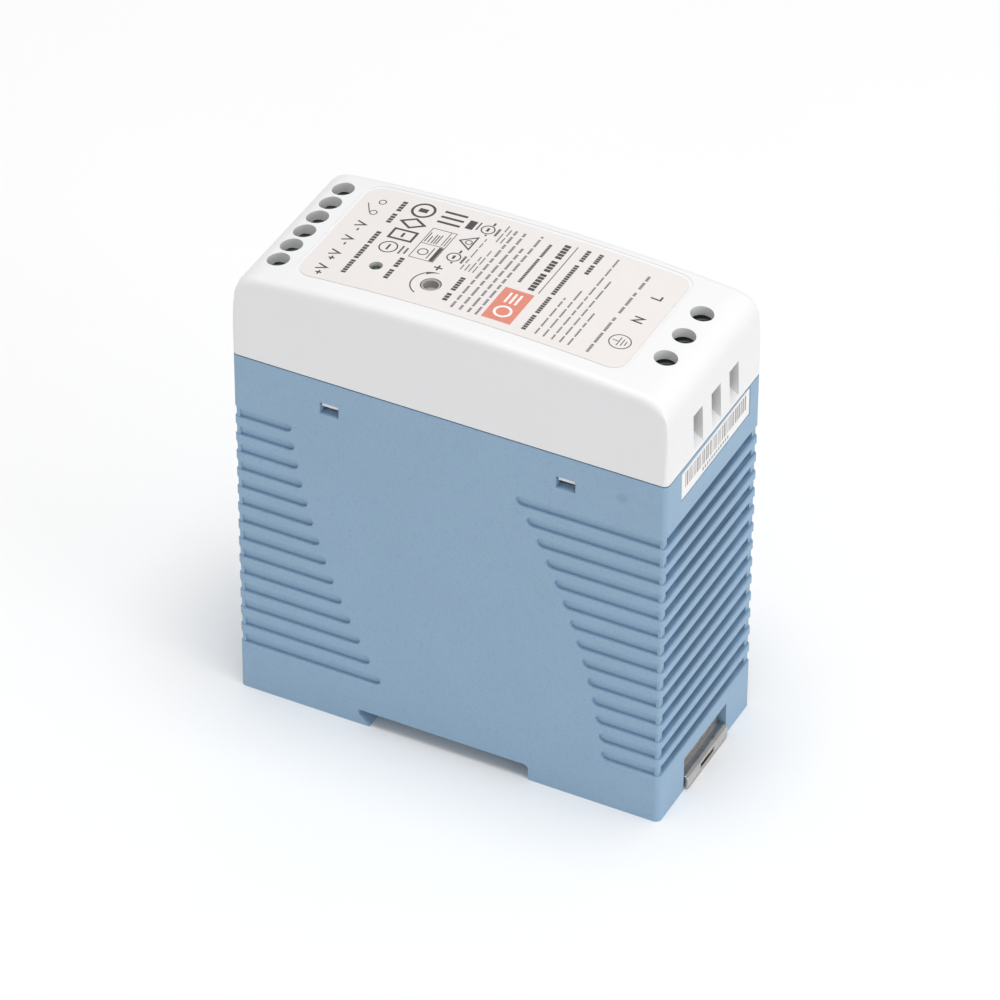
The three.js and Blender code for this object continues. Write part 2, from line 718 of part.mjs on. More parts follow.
// Lamp on two legs with a long domed lens that ends just under the front.
function statusLamp() {
  const { lens: r, tip } = LAMP;
  const rim = { radius: 1.45, bottom: 90, top: 91.2 };
  const lens = [
    [0, rim.bottom],
    [rim.radius, rim.bottom],
    [rim.radius, rim.top],
    [r, rim.top],
    [r, tip - 0.8],
    [0.8 * r, tip - 0.35],
    [0.4 * r, tip - 0.08],
    [0, tip],
  ];
  const dome = new THREE.LatheGeometry(lens.map((p) => new THREE.Vector2(...p)), 16);
  const leg = 0.25;
  const legs = [-0.9, 0.9].map((x) => block(x - leg, x + leg, -leg, leg, DECK, rim.top - 0.5));
  return join([solid(dome.rotateX(Math.PI / 2)), ...legs]).translate([LAMP.x, LAMP.y, 0]);
}

function trimmerBody() {
  const half = 3.5;
  const body = block(-half, half, -half, half, DECK, DECK + 5);
  return cut(body, [rod('z', 1.3, DECK + 2, DECK + 6, 0, 0, 12)]).translate([TRIMMER.x, TRIMMER.y, 0]);
}

// Adjusting rotor: pivot, disc and a shaft whose end lies flush with the front, hollow, with a slot inside.
function trimmerShaft() {
  const disc = DECK + 5.3;
  const { shaft, top, hollow, hollowDepth } = TRIMMER;
  const seat = top - hollowDepth;
  const body = join([
    rod('z', 1, DECK + 2.4, disc + 0.5, 0, 0, 12),
    rod('z', 2.6, disc, disc + 1, 0, 0, 16),
    rod('z', shaft, disc + 0.5, top, 0, 0, 24),
  ]);
  const slot = block(-hollow, hollow, -0.25, 0.25, seat - 0.5, seat + 0.5);
  return cut(body, [rod('z', hollow, seat, top + 1, 0, 0, 24), slot]).translate([TRIMMER.x, TRIMMER.y, 0]);
}

function signalRelay() {
  return block(-29, -13, 2.5, 12.5, DECK, DECK + 10);
}

add('status_lamp', statusLamp(), finish(0x4c6b4a, 0.25));
add('trimmer_body', trimmerBody(), finish(0x2c5d9c, 0.5));
add('trimmer_shaft', trimmerShaft(), finish(0x8a8a8a, 0.5));
add('signal_relay', signalRelay(), finish(0xd9d4c2, 0.5));

// ---------------------------------------------------------------- parts on the main board

// Parts stand on the board's face and reach towards -Y. Their places are x and z on the board.
const FACE = BOARD.face - 0.1;
const FUSE = { x: 36, z: 67, radius: 4.2, height: 8 };
const THERMISTOR = { x: 27, z: 66.5, radius: 4.5, thickness: 4 };
const VARISTOR = { x: 20, z: 66.5, radius: 4.8, thickness: 4 };
const FILTER_CAPACITOR = { x: 31.6, z: 56, lengthX: 17, lengthZ: 10, height: 12 };
const FILTER_CHOKE = { x: 31, z: 40.5, radius: 9, bore: 4, height: 11 };
const RECTIFIER = { x: 13, z: 56, lengthX: 16, lengthZ: 3.6, height: 14 };
const BULK_CAPACITOR = { x: 31.5, z: 21.5, radius: 8, height: 25, sides: 24 };
const TRANSISTOR = { x: 16.2, z: 28, sinkX: 19.6, side: 1 };
const DIODE = { x: -16.2, z: 28, sinkX: -19.6, side: -1 };
const OUTPUT_CAPACITORS = [{ x: -27, z: 17 }, { x: -27, z: 28 }, { x: -35.8, z: 22.5 }];
const INDUCTOR = { x: -32, z: 42.5, radius: 8, bore: 3.5, height: 9 };
const SAFETY_CAPACITOR = { x: -8, z: 56, radius: 4, thickness: 3.5 };
const OPTOCOUPLER = { x: 0, z: 50, lengthX: 4.6, lengthZ: 6.5, height: 3.5 };
const CONTROLLER = { x: -20, z: 56, lengthX: 9.5, lengthZ: 6.4, height: 3.4 };

// A can or disc standing on the board, with a small bevel round its free end.
function can({ x, z, radius, height, sides = 20 }) {
  const bevel = Math.min(0.6, radius / 6);
  const profile = [[0, 0], [radius, 0], [radius, height - bevel], [radius - bevel, height], [0, height]];
  const round = new THREE.LatheGeometry(profile.map(([r, h]) => new THREE.Vector2(r, h)), sides);
  return solid(round.rotateX(Math.PI).translate(x, FACE, z));
}

// A box standing on the board.
function chip({ x, z, lengthX, lengthZ, height }) {
  return block(x - lengthX / 2, x + lengthX / 2, FACE - height, FACE, z - lengthZ / 2, z + lengthZ / 2);
}

// A disc on edge with two legs down to the board.
function discOnLegs({ x, z, radius, thickness }) {
  const centre = FACE - radius - 2;
  const disc = rod('x', radius, x - thickness / 2, x + thickness / 2, centre, z, 18);
  const legs = [-0.5, 0.5].map((side) => (
    block(x - 0.3, x + 0.3, centre, FACE, z + side * radius - 0.3, z + side * radius + 0.3)
  ));
  return join([disc, ...legs]);
}

// A ring lying on the board.
function ring({ x, z, radius, bore, height }) {
  const bevel = 1;
  const profile = [
    [bore, bevel], [bore + bevel, 0], [radius - bevel, 0], [radius, bevel],
    [radius, height - bevel], [radius - bevel, height], [bore + bevel, height], [bore, height - bevel],
    [bore, bevel],
  ];
  const round = new THREE.LatheGeometry(profile.map(([r, h]) => new THREE.Vector2(r, h)), 20);
  return solid(round.rotateX(Math.PI).translate(x, FACE, z));
}

// A plastic power package with a metal tab, standing against its heat sink.
const PACKAGE = { halfX: 2.2, halfZ: 5, free: -3, end: 6, tabFree: -9, tabHalf: 0.6, tabSide: 1.5 };

function powerPackage({ x, z, side }) {
  const { halfX, halfZ, free, end, tabFree, tabHalf, tabSide } = PACKAGE;
  const body = block(x - halfX, x + halfX, free, end, z - halfZ, z + halfZ);
  const tabX = x + side * tabSide;
  const tab = block(tabX - tabHalf, tabX + tabHalf, tabFree, free + 0.5, z - halfZ, z + halfZ);
  const legs = [-2.5, 0, 2.5].map((dz) => (
    block(x - 0.3, x + 0.3, end - 1, FACE, z + dz - 0.4, z + dz + 0.4)
  ));
  const hole = rod('x', 1.7, tabX - 2, tabX + 2, tabFree + 3, z, 12);
  return cut(join([body, tab, ...legs]), [hole]);
}

// A plate with a folded top edge.
const SINK = { half: 1, halfZ: 12, free: -12, fold: 3.5, foldThickness: 2 };

function heatSink({ sinkX, z, side }) {
  const { half, halfZ, free, fold, foldThickness } = SINK;
  const plate = block(sinkX - half, sinkX + half, free + 1, FACE, z - halfZ, z + halfZ);
  const from = side > 0 ? sinkX : sinkX - fold;
  return plate.add(block(from, from + fold, free, free + foldThickness, z - halfZ, z + halfZ));
}

const CORE = { x: 0, z: 30, halfX: 12.5, halfZ: 3.75, low: -8, high: 11.5, leg: 3.4, yoke: 3 };

function transformerCore() {
  const { x, z, halfX, halfZ, low, high, leg, yoke } = CORE;
  const outside = block(x - halfX, x + halfX, low, high, z - halfZ, z + halfZ);
  const windows = [-1, 1].map((side) => {
    const [from, to] = [side * leg, side * (halfX - yoke)].sort((a, b) => a - b);
    return block(x + from, x + to, low + yoke, high - yoke, z - halfZ - 1, z + halfZ + 1);
  });
  return cut(outside, windows);
}

const SPOOL = { bore: 0.3, wall: 0.7, halfX: 9.1, halfZ: 11.4, low: -4.7, high: 8.2, flange: 0.8 };

function transformerBobbin() {
  const { x, z, leg, halfZ } = CORE;
  const boreX = leg + SPOOL.bore;
  const boreZ = halfZ + SPOOL.bore;
  const slab = (hx, hz, from, to) => block(x - hx, x + hx, from, to, z - hz, z + hz);
  const tube = slab(boreX + SPOOL.wall, boreZ + SPOOL.wall, SPOOL.low, SPOOL.high);
  const flanges = [SPOOL.low, SPOOL.high - SPOOL.flange].map((y) => (
    slab(SPOOL.halfX, SPOOL.halfZ, y, y + SPOOL.flange)
  ));
  const feet = [-1, 1].map((side) => {
    const [from, to] = [side * (halfZ + 1.5), side * SPOOL.halfZ].sort((a, b) => a - b);
    return block(x - SPOOL.halfX, x + SPOOL.halfX, SPOOL.high - SPOOL.flange, FACE, z + from, z + to);
  });
  return cut(join([tube, ...flanges, ...feet]), [slab(boreX, boreZ, SPOOL.low - 1, SPOOL.high + 1)]);
}

function transformerWinding() {
  const { x, z, leg, halfZ } = CORE;
  const from = SPOOL.low + SPOOL.flange + 0.1;
  const to = SPOOL.high - SPOOL.flange - 0.1;
  const inner = { x: leg + SPOOL.bore + SPOOL.wall + 0.1, z: halfZ + SPOOL.bore + SPOOL.wall + 0.1 };
  const outer = prism('y', roundedRectangle(x, z, SPOOL.halfX - 0.5, SPOOL.halfZ - 0.9, 2.5), from, to);
  return cut(outer, [block(x - inner.x, x + inner.x, from - 1, to + 1, z - inner.z, z + inner.z)]);
}

add('fuse', can(FUSE), finish(0x2b2b2b, 0.5));
add('inrush_thermistor', discOnLegs(THERMISTOR), finish(0x3c4640, 0.6));
add('surge_varistor', discOnLegs(VARISTOR), sleeve(0x2f6fb3));
add('line_filter_capacitor', chip(FILTER_CAPACITOR), finish(0xd9b23a, 0.5));
add('line_filter_choke', ring(FILTER_CHOKE), copper());
add('bridge_rectifier', chip(RECTIFIER), darkPlastic());
add('bulk_capacitor', can(BULK_CAPACITOR), sleeve(0x1f2f55));
add('switching_transistor', powerPackage(TRANSISTOR), darkPlastic());
add('transistor_heat_sink', heatSink(TRANSISTOR), aluminium());
add('transformer_core', transformerCore(), ferrite());
add('transformer_bobbin', transformerBobbin(), darkPlastic());
add('transformer_winding', transformerWinding(), finish(0xd9c23c, 0.45));
add('output_diode', powerPackage(DIODE), darkPlastic());
add('diode_heat_sink', heatSink(DIODE), aluminium());
OUTPUT_CAPACITORS.forEach((place, i) => {
  add(`output_capacitor_${i + 1}`, can({ ...place, radius: 4.7, height: 20 }), sleeve(0x1c1c20));
});
add('output_inductor', ring(INDUCTOR), copper());
add('safety_capacitor', discOnLegs(SAFETY_CAPACITOR), sleeve(0x2f6fb3));
add('optocoupler', chip(OPTOCOUPLER), darkPlastic());
add('controller_chip', chip(CONTROLLER), darkPlastic());

export default model;
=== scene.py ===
# The looks of a slim DIN rail power supply: finishes, printed label, sticker, studio light and camera.
# Metres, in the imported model's frame: +Z is the front, +X the mains end, and the feet stand on z = 0.

import json
import math
import random

import bmesh
import bpy
from mathutils import Matrix, Vector
from mathutils.bvhtree import BVHTree


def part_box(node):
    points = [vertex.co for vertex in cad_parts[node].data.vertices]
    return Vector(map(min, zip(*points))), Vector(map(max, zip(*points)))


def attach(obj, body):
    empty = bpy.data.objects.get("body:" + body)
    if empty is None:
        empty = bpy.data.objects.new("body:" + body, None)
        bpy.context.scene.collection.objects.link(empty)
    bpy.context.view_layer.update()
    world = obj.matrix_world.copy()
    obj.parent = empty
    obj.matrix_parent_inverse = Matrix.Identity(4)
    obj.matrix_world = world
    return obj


MM = 0.001

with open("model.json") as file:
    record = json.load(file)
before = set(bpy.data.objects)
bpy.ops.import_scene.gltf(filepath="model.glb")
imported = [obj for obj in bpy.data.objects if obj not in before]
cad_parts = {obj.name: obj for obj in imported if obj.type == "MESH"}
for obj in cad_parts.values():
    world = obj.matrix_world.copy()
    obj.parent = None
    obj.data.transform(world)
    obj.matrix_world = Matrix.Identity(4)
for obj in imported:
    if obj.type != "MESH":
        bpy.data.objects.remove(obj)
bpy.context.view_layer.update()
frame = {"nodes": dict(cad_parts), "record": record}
nodes = frame["nodes"]


# ---------------------------------------------------------------- node materials

# A wave texture of scale 1 repeats after this length.
WAVE_PERIOD = 0.314

# The faint round mark of an ejector pin on the case's near side.
EJECTOR_CENTRE = (36 * MM, -20 * MM, 74.4 * MM)
EJECTOR_RADIUS = 0.7 * MM
EJECTOR_FADE = 1.5 * MM


def srgb(code):
    """A hex colour such as 0x86a2bb as linear red, green, blue and 1."""
    parts = [((code >> shift) & 255) / 255 for shift in (16, 8, 0)]
    return tuple(p / 12.92 if p <= 0.04045 else ((p + 0.055) / 1.055) ** 2.4 for p in parts) + (1.0,)


def scaled(colour, factor):
    return tuple(min(1.0, c * factor) for c in colour[:3]) + (1.0,)


class Finish:
    """One procedural material, built up from noise in the object's own coordinates."""

    def __init__(self, name, colour, roughness, metallic=0.0):
        self.material = bpy.data.materials.new(name)
        self.material.use_nodes = True
        self.tree = self.material.node_tree
        self.shader = self.tree.nodes["Principled BSDF"]
        self.colour = colour
        self.shader.inputs["Base Color"].default_value = colour
        self.shader.inputs["Roughness"].default_value = roughness
        self.shader.inputs["Metallic"].default_value = metallic
        self.coordinates = self.node("ShaderNodeTexCoord").outputs["Object"]
        self.normal = None

    def node(self, kind, **values):
        made = self.tree.nodes.new(kind)
        for key, value in values.items():
            setattr(made, key, value)
        return made

    def link(self, source, target):
        self.tree.links.new(source, target)

    def place(self, stretch):
        mapping = self.node("ShaderNodeMapping")
        mapping.inputs["Scale"].default_value = stretch
        self.link(self.coordinates, mapping.inputs["Vector"])
        return mapping.outputs["Vector"]

    def noise(self, size, detail=2.0, stretch=(1, 1, 1)):
        """Noise with features about `size` metres across."""
        noise = self.node("ShaderNodeTexNoise")
        noise.inputs["Scale"].default_value = 1 / size
        noise.inputs["Detail"].default_value = detail
        self.link(self.place(stretch), noise.inputs["Vector"])
        return noise.outputs["Fac"]

    def ramp(self, value, low, high, bottom=0.0, top=1.0):
        """A value stretched so that low becomes bottom and high becomes top."""
        span = self.node("ShaderNodeMapRange")
        span.inputs["From Min"].default_value = low
        span.inputs["From Max"].default_value = high
        span.inputs["To Min"].default_value = bottom
        span.inputs["To Max"].default_value = top
        self.link(value, span.inputs["Value"])
        return span.outputs["Result"]

    def mix(self, factor, first, second):
        mix = self.node("ShaderNodeMix", data_type="RGBA")
        self.link(factor, mix.inputs[0])
        for socket, value in ((mix.inputs[6], first), (mix.inputs[7], second)):
            if isinstance(value, tuple):
                socket.default_value = value
            else:
                self.link(value, socket)
        return mix.outputs[2]

    def tint(self, factor, second, first=None):
        """Blends the base colour towards another one by a factor, on top of earlier tints."""
        socket = self.shader.inputs["Base Color"]
        earlier = socket.links[0].from_socket if socket.links else self.colour
        self.link(self.mix(factor, first or earlier, second), socket)
        return self

    def mottle(self, size, amount, stretch=(1, 1, 1)):
        """Faint uneven colour, lighter and darker than the base by `amount`."""
        low = scaled(self.colour, 1 - amount)
        high = scaled(self.colour, 1 + amount)
        factor = self.ramp(self.noise(size, detail=3, stretch=stretch), 0.3, 0.7)
        self.link(self.mix(factor, low, high), self.shader.inputs["Base Color"])
        return self

    def uneven_gloss(self, size, low, high, stretch=(1, 1, 1)):
        patches = self.noise(size, detail=4, stretch=stretch)
        self.link(self.ramp(patches, 0.3, 0.7, low, high), self.shader.inputs["Roughness"])
        return self

    def relief(self, height, depth):
        """Adds a bump of `depth` metres, on top of the earlier ones."""
        bump = self.node("ShaderNodeBump")
        bump.inputs["Strength"].default_value = 1.0
        bump.inputs["Distance"].default_value = depth
        self.link(height, bump.inputs["Height"])
        if self.normal:
            self.link(self.normal, bump.inputs["Normal"])
        self.normal = bump.outputs["Normal"]
        self.link(self.normal, self.shader.inputs["Normal"])
        return self

    def grain(self, size, depth, stretch=(1, 1, 1)):
        return self.relief(self.noise(size, stretch=stretch), depth)

    def set(self, **values):
        for key, value in values.items():
            self.shader.inputs[key.replace("_", " ")].default_value = value
        return self


def moulded(name, code, roughness=0.5, grain=0.35 * MM, depth=0.02 * MM, mottle=0.02):
    """Injection-moulded plastic: fine spark-eroded grain, slightly uneven gloss."""
    finish = Finish(name, srgb(code), roughness)
    finish.mottle(14 * MM, mottle)
    finish.uneven_gloss(5 * MM, roughness - 0.05, roughness + 0.05)
    finish.grain(grain, depth)
    return finish


def metal(name, code, low, high, stretch=(1, 1, 1), depth=0.01 * MM):
    """Rolled or plated metal: streaks along the rolling direction, uneven gloss."""
    finish = Finish(name, srgb(code), low, 1.0)
    finish.mottle(3 * MM, 0.08, stretch)
    finish.uneven_gloss(1.2 * MM, low, high, stretch)
    finish.grain(0.5 * MM, depth, stretch)
    return finish


def blue_plastic():
    """The case's blue, with a fine speckle and the ejector pin's mark."""
    finish = moulded("blue_housing", 0x93b1cb, 0.55, grain=0.5 * MM, depth=0.035 * MM, mottle=0.015)
    speckle = finish.ramp(finish.noise(0.45 * MM, detail=1), 0.52, 0.8)
    finish.tint(speckle, srgb(0x8aa8c3))
    offset = finish.node("ShaderNodeVectorMath", operation="DISTANCE")
    offset.inputs[1].default_value = EJECTOR_CENTRE
    finish.link(finish.coordinates, offset.inputs[0])
    mark = finish.ramp(offset.outputs["Value"], EJECTOR_FADE, EJECTOR_RADIUS)
    return finish.tint(mark, srgb(0x88a5bf))


def white_plastic():
    return moulded("white_housing", 0xeeeeef, 0.42, grain=0.6 * MM, depth=0.008 * MM, mottle=0.006)


def foil(name, code):
    """Matte printed label film with a faint fibre to it."""
    finish = Finish(name, srgb(code), 0.55)
    finish.mottle(2.5 * MM, 0.008)
    finish.uneven_gloss(3 * MM, 0.5, 0.6)
    finish.grain(0.3 * MM, 0.006 * MM)
    return finish


def ink(name, code):
    """Printing ink, very slightly patchy."""
    finish = Finish(name, srgb(code), 0.6)
    finish.mottle(0.6 * MM, 0.06)
    finish.uneven_gloss(1 * MM, 0.5, 0.68)
    return finish


def circuit_board():
    """Green laminate with traces under the solder mask and a woven glass grain."""
    finish = Finish("board_laminate", srgb(0x2c6a42), 0.4)
    finish.mottle(6 * MM, 0.08)
    brick = finish.node("ShaderNodeTexBrick", offset=0.37, squash=1.4)
    brick.inputs["Scale"].default_value = 1 / (14 * MM)
    brick.inputs["Mortar Size"].default_value = 0.035
    brick.inputs["Color1"].default_value = (0, 0, 0, 1)
    brick.inputs["Color2"].default_value = (0.1, 0.1, 0.1, 1)
    brick.inputs["Mortar"].default_value = (1, 1, 1, 1)
    turn = finish.node("ShaderNodeMapping")
    turn.inputs["Rotation"].default_value = (math.radians(90), 0, 0)
    finish.link(finish.coordinates, turn.inputs["Vector"])
    finish.link(turn.outputs["Vector"], brick.inputs["Vector"])
    finish.tint(brick.outputs["Color"], srgb(0x5d9a63))
    finish.relief(brick.outputs["Fac"], 0.03 * MM)
    finish.grain(0.4 * MM, 0.01 * MM)
    return finish


def sleeve(name, code):
    """Shrink sleeve over a can: glossy, softly wrinkled."""
    finish = Finish(name, srgb(code), 0.28)
    finish.mottle(5 * MM, 0.1)
    finish.uneven_gloss(2 * MM, 0.22, 0.36)
    finish.grain(3 * MM, 0.08 * MM, (1, 3, 1))
    return finish


def winding(name, code, pitch, stretch):
    """Turns of enamelled wire or tape lying side by side, `pitch` metres apart."""
    finish = Finish(name, srgb(code), 0.3)
    finish.set(Coat_Weight=0.4)
    wave = finish.node("ShaderNodeTexWave", wave_type="BANDS", bands_direction="Y")
    wave.inputs["Scale"].default_value = WAVE_PERIOD / pitch
    wave.inputs["Distortion"].default_value = 0.6
    wave.inputs["Detail"].default_value = 1.0
    finish.link(finish.place(stretch), wave.inputs["Vector"])
    finish.tint(wave.outputs["Fac"], scaled(srgb(code), 0.6), srgb(code))
    finish.relief(wave.outputs["Fac"], 0.15 * MM)
    return finish


def lens():
    """Tinted diffusing lens of the status lamp, unlit."""
    finish = Finish("lamp_lens", srgb(0x2f3f33), 0.25)
    finish.mottle(1 * MM, 0.1)
    finish.uneven_gloss(0.8 * MM, 0.2, 0.35)
    finish.set(Transmission_Weight=0.25, Coat_Weight=0.3)
    return finish


def powder(name, code, roughness, size=0.5 * MM, depth=0.05 * MM):
    """Dipped or sintered coating with a rough skin."""
    finish = Finish(name, srgb(code), roughness)
    finish.mottle(2 * MM, 0.08)
    finish.uneven_gloss(1.5 * MM, roughness - 0.08, roughness + 0.08)
    finish.grain(size, depth)
    return finish


FINISHES = {
    "blue_housing": blue_plastic(),
    "white_housing": white_plastic(),
    "label_foil": foil("label_foil", 0xe8e3e0),
    "barcode_foil": foil("barcode_foil", 0xf4f3f2),
    "zinc_plated_steel": metal("zinc_plated_steel", 0xc6c4c2, 0.22, 0.42, (0.15, 1, 1)),
    "spring_steel": metal("spring_steel", 0xa9a8a6, 0.25, 0.4),
    "screw_steel": metal("screw_steel", 0xb5b3ae, 0.28, 0.45),
    "cage_brass": metal("cage_brass", 0xc9b27a, 0.3, 0.48),
    "terminal_plastic": moulded("terminal_plastic", 0x6d7a70, 0.5, mottle=0.06),
    "board_laminate": circuit_board(),
    "black_plastic": moulded("black_plastic", 0x232527, 0.48, mottle=0.08),
    "insulation_film": moulded("insulation_film", 0xd9dcda, 0.35, grain=1.5 * MM),
    "lamp_lens": lens(),
    "trimmer_housing": moulded("trimmer_housing", 0x2c5d9c, 0.45, mottle=0.05),
    "trimmer_grey": moulded("trimmer_grey", 0xb0aeac, 0.5, mottle=0.04),
    "relay_plastic": moulded("relay_plastic", 0xdad4c2, 0.45, mottle=0.03),
    "thermistor_coating": powder("thermistor_coating", 0x3c4640, 0.65),
    "blue_epoxy": powder("blue_epoxy", 0x2f6fb3, 0.35, size=1.2 * MM, depth=0.08 * MM),
    "capacitor_box": moulded("capacitor_box", 0xd9b23a, 0.45, mottle=0.04),
    "copper_wire": winding("copper_wire", 0xb46f3c, 0.9 * MM, (1, 0.2, 1)),
    "bulk_sleeve": sleeve("bulk_sleeve", 0x1f2f55),
    "dark_sleeve": sleeve("dark_sleeve", 0x1c1c20),
    "bare_aluminium": metal("bare_aluminium", 0xbcbec0, 0.3, 0.45, (1, 0.1, 1)),
    "ferrite": powder("ferrite", 0x3b3a3c, 0.72, size=0.3 * MM, depth=0.02 * MM),
    "winding_tape": winding("winding_tape", 0xd9c23c, 2.2 * MM, (1, 1, 1)),
}

for row in frame["record"]["subparts"]:
    solid = nodes[row["node"]]
    solid.data.materials.clear()
    solid.data.materials.append(FINISHES[row["material_slot"]].material)


# ---------------------------------------------------------------- soft edges on the carried-over solids

MERGE_DISTANCE = 0.002 * MM
FLAT_ANGLE = math.radians(0.4)
SHARP_ANGLE = math.radians(32)
FACE_AREA_WEIGHT = 80


def soften(name, width, segments=2):
    """Breaks a faceted solid's edges as a mould does, and shades what is round as round."""
    solid = nodes[name]
    weld = solid.modifiers.new("weld", "WELD")
    weld.merge_threshold = MERGE_DISTANCE
    flat = solid.modifiers.new("flat", "DECIMATE")
    flat.decimate_type = "DISSOLVE"
    flat.angle_limit = FLAT_ANGLE
    flat.delimit = {"NORMAL"}
    edge = solid.modifiers.new("edge", "BEVEL")
    edge.width = width
    edge.segments = segments
    edge.limit_method = "ANGLE"
    edge.angle_limit = SHARP_ANGLE
    edge.use_clamp_overlap = True
    edge.harden_normals = False
    for polygon in solid.data.polygons:
        polygon.use_smooth = True
    normals = solid.modifiers.new("normals", "WEIGHTED_NORMAL")
    normals.keep_sharp = False
    normals.weight = FACE_AREA_WEIGHT


soften("base_case", 0.12 * MM)
soften("front_cover", 0.14 * MM)
soften("din_latch", 0.15 * MM)
soften("trimmer_shaft", 0.08 * MM)
for name in nodes:
    if "_screw_" in name:
        soften(name, 0.12 * MM)
    elif "_cage_" in name or "_terminal_block" in name:
        soften(name, 0.1 * MM, 1)


# ---------------------------------------------------------------- printing

# How thick ink stands on the film and how deep it reaches into it, in millimetres.
INK_HEIGHT = 0.022
INK_SINK = 0.03

# A block that stands for a letter: its pitch as a share of the line's height, and its own share of the pitch.
LETTER_PITCH = 0.85
LETTER_FILL = 0.78

# Below this value of one plus the cosine of the turn, a corner's mitre stops growing.
MITRE_LIMIT = 0.25


def surface_height(name):
    """A function that gives the top of a node at any x and y."""
    mesh = nodes[name].data
    tree = BVHTree.FromPolygons([v.co for v in mesh.vertices], [p.vertices for p in mesh.polygons])
    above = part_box(name)[1].z + 1 * MM

    def height(x, y):
        hit = tree.ray_cast(Vector((x, y, above)), Vector((0, 0, -1)))[0]
        return hit.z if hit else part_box(name)[1].z

    return height


class Print:
    """Thin closed strips of ink. Points are across and down the print, in millimetres."""

    def __init__(self, name, place, thickness=INK_HEIGHT, sink=INK_SINK):
        self.name = name
        self.place = place
        self.top = thickness
        self.sink = sink
        self.mesh = bmesh.new()

    def ribbon(self, points, width, closed=False, step=1.0):
        """A strip along a line with mitred corners. Width is one number or one for each point."""
        widths = width if isinstance(width, (list, tuple)) else [width] * len(points)
        line, sizes = self.divided(points, widths, closed, step)
        last = len(line) - 1
        rings = []
        for i, (p, size) in enumerate(zip(line, sizes)):
            ways = []
            if i or closed:
                ways.append((p - line[i - 1]).normalized())
            if i < last or closed:
                ways.append((line[(i + 1) % len(line)] - p).normalized())
            rings.append(self.section(p, size, ways))
        pairs = list(zip(rings, rings[1:])) + ([(rings[-1], rings[0])] if closed else [])
        for one, other in pairs:
            for k in range(4):
                m = (k + 1) % 4
                self.mesh.faces.new((one[k], one[m], other[m], other[k]))
        if not closed:
            self.mesh.faces.new(rings[0])
            self.mesh.faces.new(rings[-1][::-1])

    def divided(self, points, widths, closed, step):
        """The line's points and widths, with more between them where it runs down the curved label."""
        line, sizes = [], []
        count = len(points)
        for i in range(count if closed else count - 1):
            a, b = Vector(points[i]), Vector(points[(i + 1) % count])
            wa, wb = widths[i], widths[(i + 1) % count]
            parts = max(1, math.ceil(abs(b.y - a.y) / step))
            for k in range(parts):
                line.append(a.lerp(b, k / parts))
                sizes.append(wa + (wb - wa) * k / parts)
        if not closed:
            line.append(Vector(points[-1]))
            sizes.append(widths[-1])
        return line, sizes

    def section(self, p, size, ways):
        """The four corners of the strip at one point, square to the ways in and out of it."""
        sides = [Vector((-w.y, w.x)) for w in ways]
        side = sum(sides, Vector((0, 0)))
        if len(sides) == 2:
            side /= max(MITRE_LIMIT, 1 + sides[0].dot(sides[1]))
        edge = side * size / 2
        corners = [(p + edge, self.top), (p - edge, self.top), (p - edge, -self.sink), (p + edge, -self.sink)]
        return [self.mesh.verts.new(self.place(q.x, q.y, h)) for q, h in corners]

    def arc(self, centre, radius, width, start=0.0, end=360.0, steps=32):
        full = abs(end - start) >= 360
        count = steps if full else steps + 1
        points = []
        for i in range(count):
            angle = math.radians(start + (end - start) * i / steps)
            points.append((centre[0] + radius * math.cos(angle), centre[1] + radius * math.sin(angle)))
        self.ribbon(points, width, closed=full, step=3)

    def dash(self, row, start, end, width):
        self.ribbon([(start, row), (end, row)], width)

    def box(self, left, right, top, bottom, width):
        corners = [(left, top), (right, top), (right, bottom), (left, bottom)]
        self.ribbon(corners, width, closed=True)

    def plus(self, centre, arm, width):
        x, y = centre
        gap = width / 2 + 0.01
        self.dash(y, x - arm, x + arm, width)
        self.ribbon([(x, y - arm), (x, y - gap)], width)
        self.ribbon([(x, y + gap), (x, y + arm)], width)

    def words(self, row, start, lengths, weight, space=0.55):
        """A line of text shown as plain blocks, one for each letter."""
        x = start
        for length in lengths:
            letters = max(2, round(length / (LETTER_PITCH * weight)))
            pitch = length / letters
            for i in range(letters):
                left = x + i * pitch
                self.dash(row, left, left + LETTER_FILL * pitch, weight)
            x += length + space

    def finish(self, finish, slot):
        bmesh.ops.recalc_face_normals(self.mesh, faces=self.mesh.faces)
        mesh = bpy.data.meshes.new(self.name)
        self.mesh.to_mesh(mesh)
        self.mesh.free()
        piece = bpy.data.objects.new(self.name, mesh)
        bpy.context.scene.collection.objects.link(piece)
        mesh.materials.append(finish.material)
        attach(piece, "housing")


# ---------------------------------------------------------------- the front label's layout

# Everything here is in millimetres on the label: across it is +Y and down it is +X, as the print reads.
THIN = 0.2
THINNER = 0.17
LEGEND_WEIGHT = 0.34
LETTER_WEIGHT = 0.36
MARK_WEIGHT = 0.5

# The four output legends: where each is across the label, and whether its sign is a plus.
OUTPUT_SIGNS = ((-12.2, True), (-7.1, True), (-2.0, False), (3.1, False))
EARTH = (-7.2, 28.85)
EARTH_BARS = ((1.3, 28.65), (1.0, 29.35), (0.65, 30.0))

